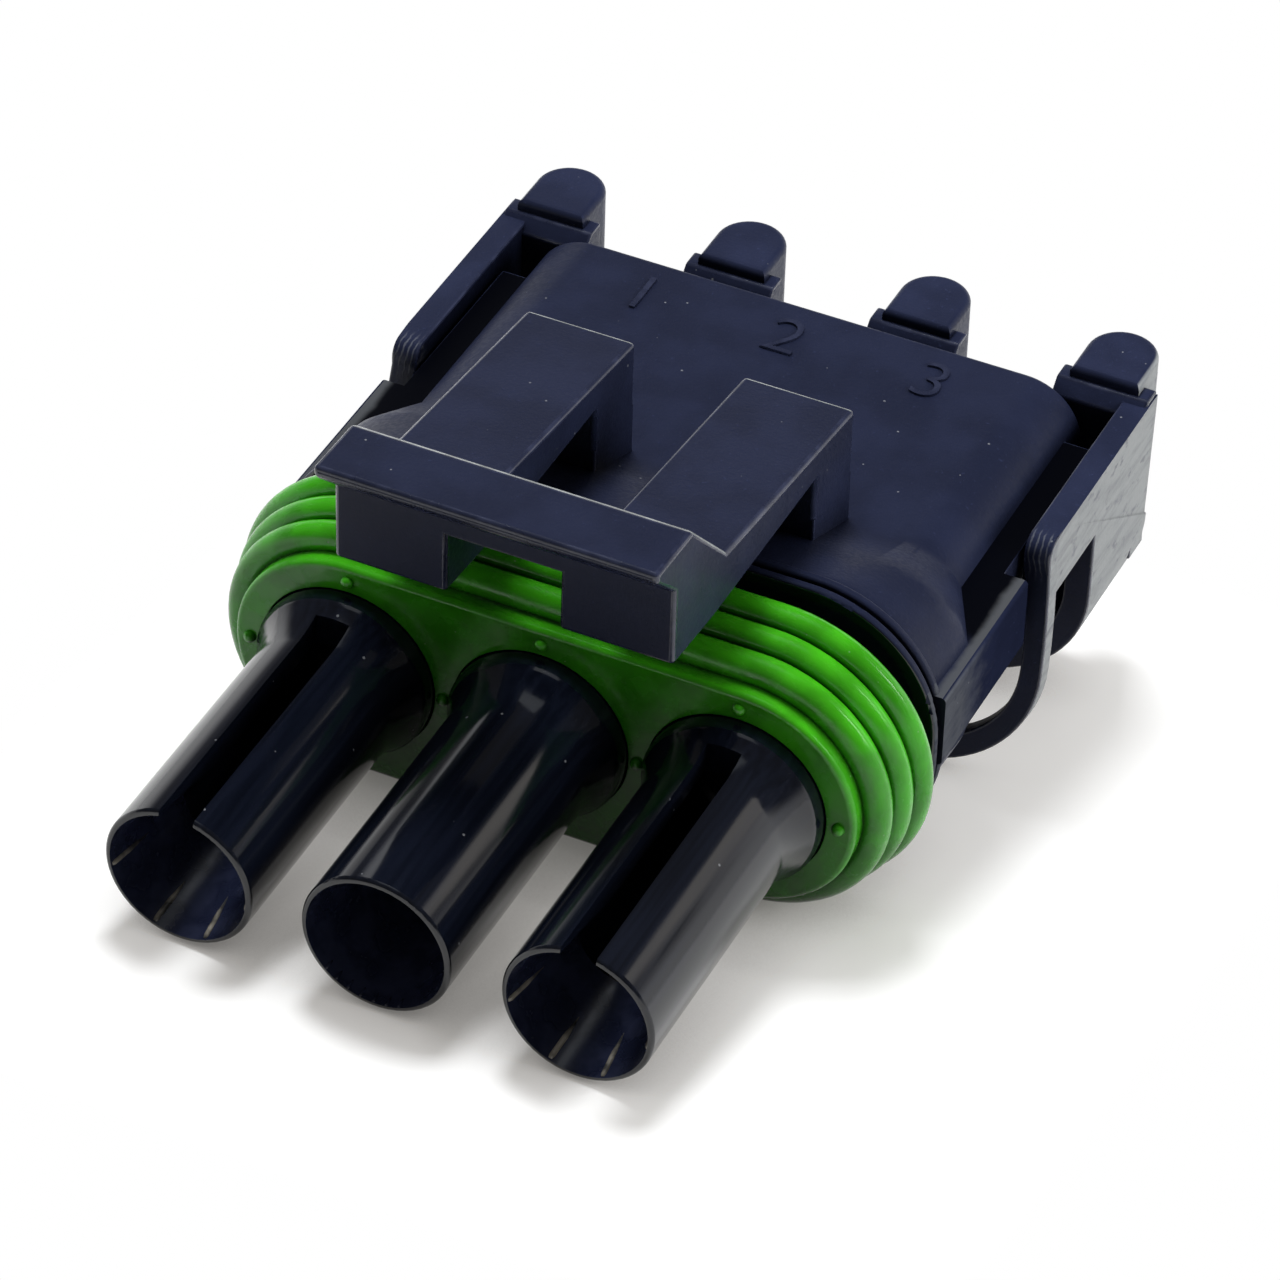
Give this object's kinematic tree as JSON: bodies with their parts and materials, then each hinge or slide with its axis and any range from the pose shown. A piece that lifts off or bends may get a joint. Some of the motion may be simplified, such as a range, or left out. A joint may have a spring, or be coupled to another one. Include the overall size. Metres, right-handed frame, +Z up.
{
  "type": "connector",
  "caption": "Sealed in-line wire connector half: a row of round terminal towers, green ribbed seal, raised latch frame and hinged comb-shaped secondary lock",
  "frame": {"origin": "centre of the middle terminal tower's mouth", "axes": "+Y runs back along the terminals to the wires, +Z up to the latch, +X along the row of terminals"},
  "size_m": [0.0286, 0.0418, 0.0216],
  "materials": {
    "black_nylon": "moulded black nylon, fine satin grain on the body and polished on the towers",
    "green_silicone": "smooth satin silicone rubber"
  },
  "bodies": {
    "housing_body": {"housing": "black_nylon", "interface_seal": "green_silicone"},
    "latch": {"mating_latch": "black_nylon"},
    "lock": {"secondary_lock": "black_nylon"}
  },
  "joints": [
    {"name": "latch_lift", "type": "hinge", "parent": "housing_body", "child": "latch", "pos_m": [0, 0.0258, 0.006], "axis": [-1, 0, 0], "range_deg": [0, 6], "stiffness_Nm_per_rad": 0.3},
    {"name": "lock_swing", "type": "hinge", "parent": "housing_body", "child": "lock", "pos_m": [0, 0.0276, -0.0075], "axis": [-1, 0, 0], "range_deg": [0, 95]}
  ]
}
